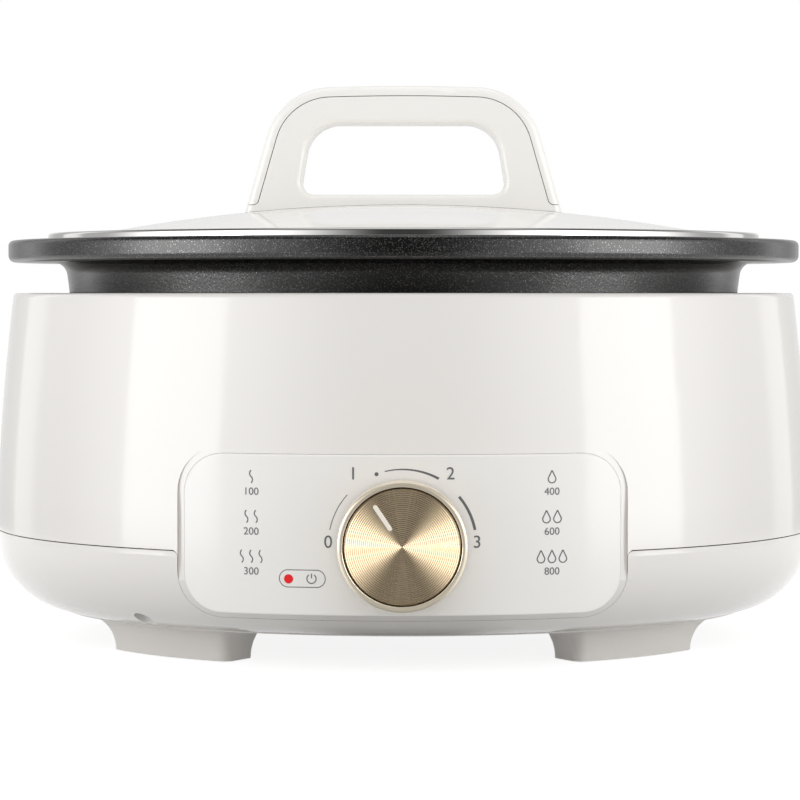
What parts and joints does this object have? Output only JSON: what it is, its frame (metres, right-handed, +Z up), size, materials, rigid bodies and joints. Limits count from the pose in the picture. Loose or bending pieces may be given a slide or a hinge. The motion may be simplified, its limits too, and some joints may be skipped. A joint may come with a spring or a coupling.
{
  "type": "electric hot pot",
  "caption": "Round electric hot pot: two-shell body with dial panel, lift-out flanged pot on a hot plate, and a lift-off domed lid with an arched handle.",
  "frame": {"origin": "on the surface it stands on, under the middle of the whole object", "axes": "+Z up, -Y to the front (control panel and knob), +X to the right seen from the front"},
  "size_m": [0.3434, 0.3579, 0.2317],
  "materials": {
    "body_shell": "glossy moulded cream plastic",
    "base_moulding": "moulded cream plastic, satin",
    "pad_rubber": "matt rubber",
    "screw_steel": "zinc-plated steel",
    "liner_steel": "aluminised sheet steel",
    "plate_aluminium": "die-cast and turned",
    "element_sheath": "sheathed heating tube",
    "sensor_steel": "turned steel",
    "fuse_body": "fired ceramic",
    "panel_face": "smooth moulded cream plastic, printed marks",
    "switch_case": "black thermoset",
    "pin_brass": "turned brass",
    "lens_red": "red light pipe",
    "board": "circuit board",
    "inlet_moulding": "black moulded plastic",
    "terminal_ceramic": "glazed ceramic",
    "knob_plastic": "black moulded plastic",
    "knob_gold": "champagne anodised, polished edge",
    "knob_face": "champagne anodised, circular brushed",
    "knob_mark": "bright cut mark",
    "pot_coating": "black speckled non-stick coating on cast aluminium",
    "lid_glass": "tempered glass sprayed cream, opaque",
    "lid_band": "polished stainless steel",
    "vent_silicone": "moulded silicone",
    "handle_plastic": "glossy moulded cream plastic"
  },
  "bodies": {
    "base": {"upper_shell": "body_shell", "lower_shell": "body_shell", "bottom_cover": "base_moulding", "foot_pads": "pad_rubber", "shell_screws": "screw_steel", "cover_screws": "screw_steel", "inner_liner": "liner_steel", "liner_screws": "screw_steel", "heating_plate": "plate_aluminium", "heating_element": "element_sheath", "plate_supports": "screw_steel", "plate_screws": "screw_steel", "sensor_housing": "sensor_steel", "thermal_fuse": "fuse_body", "fuse_strap": "liner_steel", "control_panel": "panel_face", "rotary_switch": "switch_case", "switch_bracket": "liner_steel", "switch_nut": "pin_brass", "indicator_lens": "lens_red", "indicator_led": "lens_red", "indicator_board": "board", "power_inlet": "inlet_moulding", "inlet_pins": "pin_brass", "inlet_screws": "screw_steel", "terminal_block": "terminal_ceramic"},
    "knob": {"switch_shaft": "sensor_steel", "knob_core": "knob_plastic", "knob_ring": "knob_gold", "knob_face": "knob_face", "knob_pointer": "knob_mark"},
    "sensor": {"sensor_plunger": "plate_aluminium", "sensor_spring": "screw_steel"},
    "pot": {"inner_pot": "pot_coating"},
    "lid": {"lid_panel": "lid_glass", "lid_rim": "lid_band", "steam_vent": "vent_silicone", "handle_frame": "handle_plastic", "handle_cover": "handle_plastic", "handle_screws": "screw_steel", "handle_washers": "vent_silicone"}
  },
  "joints": [
    {"name": "pot_lift", "type": "slide", "parent": "base", "child": "pot", "axis": [0, 0, 1], "range_m": [0, 0.11]},
    {"name": "lid_lift", "type": "slide", "parent": "pot", "child": "lid", "axis": [0, 0, 1], "range_m": [0, 0.08]},
    {"name": "knob_turn", "type": "hinge", "parent": "base", "child": "knob", "pos_m": [0, -0.16473, 0.0504], "axis": [0, -1, 0], "range_deg": [-124, 56]},
    {"name": "sensor_travel", "type": "slide", "parent": "base", "child": "sensor", "axis": [0, 0, 1], "range_m": [-0.002, 0], "stiffness_N_per_m": 400, "springref_m": 0.004, "deforming": ["sensor_spring"]}
  ]
}
